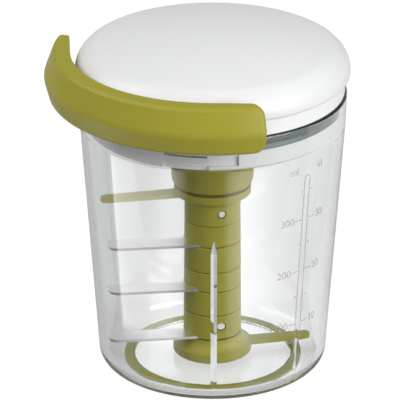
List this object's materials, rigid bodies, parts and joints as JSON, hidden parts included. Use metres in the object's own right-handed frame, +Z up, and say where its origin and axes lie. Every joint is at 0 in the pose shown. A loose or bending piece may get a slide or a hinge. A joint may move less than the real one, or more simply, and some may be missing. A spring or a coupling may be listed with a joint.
{
  "type": "pull-cord food chopper",
  "caption": "Hand-pulled food chopper: clear tapered bowl, domed twist-lock lid with a curved pull-cord handle, and a lift-out spindle of stacked blades turning on a pivot pin.",
  "frame": {"origin": "On the bowl's axis, in the plane of the table that the non-slip ring stands on.", "axes": "+Z up along the bowl's axis; the handle is pulled along -Y; +X to the right seen from the handle's side."},
  "size_m": [0.1034, 0.1069, 0.1238],
  "materials": {
    "clear_plastic": "clear, polished",
    "green_rubber": "matt",
    "grey_silicone": "satin",
    "white_plastic": "satin",
    "green_plastic": "fine satin",
    "natural_plastic": "as moulded",
    "blade_steel": "brushed along the blade",
    "polished_steel": "polished",
    "spring_steel": "blued",
    "cord": "braided"
  },
  "bodies": {
    "bowl": {"bowl": "clear_plastic", "non_slip_ring": "green_rubber", "pivot_pin": "polished_steel"},
    "seal": {"lid_seal": "grey_silicone"},
    "lid": {"lid_base": "white_plastic", "lid_dome": "white_plastic", "lid_screws": "polished_steel", "reel_axle": "polished_steel", "axle_clip": "spring_steel", "cord_eyelet": "natural_plastic"},
    "reel": {"cord_reel": "natural_plastic", "recoil_spring": "spring_steel", "spring_cover": "natural_plastic", "cord_winding": "cord"},
    "drive": {"drive_hub": "green_plastic", "clutch_cam": "natural_plastic", "clutch_rollers": "polished_steel", "hub_screw": "polished_steel"},
    "handle": {"handle_grip": "green_plastic", "handle_liner": "natural_plastic", "handle_screws": "polished_steel", "cord_lead": "cord", "cord_stop": "natural_plastic"},
    "blade_unit": {"spindle": "green_plastic", "spindle_bush": "natural_plastic", "lower_blade": "blade_steel", "middle_blade": "blade_steel", "upper_blade": "blade_steel", "sleeve_1": "green_plastic", "sleeve_2": "green_plastic", "sleeve_3": "green_plastic", "sleeve_4": "green_plastic", "sleeve_5": "green_plastic", "top_hub": "green_plastic", "cross_pins": "polished_steel"}
  },
  "joints": [
    {"name": "lid_lift", "type": "slide", "parent": "bowl", "child": "seal", "axis": [0, 0, 1], "range_m": [0, 0.1]},
    {"name": "lid_twist", "type": "hinge", "parent": "seal", "child": "lid", "pos_m": [0, 0, 0.1], "axis": [0, 0, 1], "range_deg": [-13.5, 0]},
    {"name": "drive_spin", "type": "hinge", "parent": "seal", "child": "drive", "pos_m": [0, 0, 0.1], "axis": [0, 0, 1], "range_deg": [-880, 0]},
    {"name": "handle_pull", "type": "slide", "parent": "lid", "child": "handle", "axis": [0, -1, 0], "range_m": [0, 0.32], "stiffness_N_per_m": 20, "springref_m": -0.15, "deforming": ["cord_lead", "recoil_spring"]},
    {"name": "reel_spin", "type": "hinge", "parent": "lid", "child": "reel", "pos_m": [0, 0, 0.113], "axis": [0, 0, 1], "range_deg": [-880, 0]},
    {"name": "blade_spin", "type": "hinge", "parent": "bowl", "child": "blade_unit", "pos_m": [0, 0, 0.01], "axis": [0, 0, 1], "range_deg": [-880, 0]}
  ],
  "couplings": [
    {"joint": "reel_spin", "follows": "handle_pull", "rad_per_m": -47.619},
    {"joint": "drive_spin", "follows": "handle_pull", "rad_per_m": -47.619},
    {"joint": "blade_spin", "follows": "handle_pull", "rad_per_m": -47.619}
  ]
}
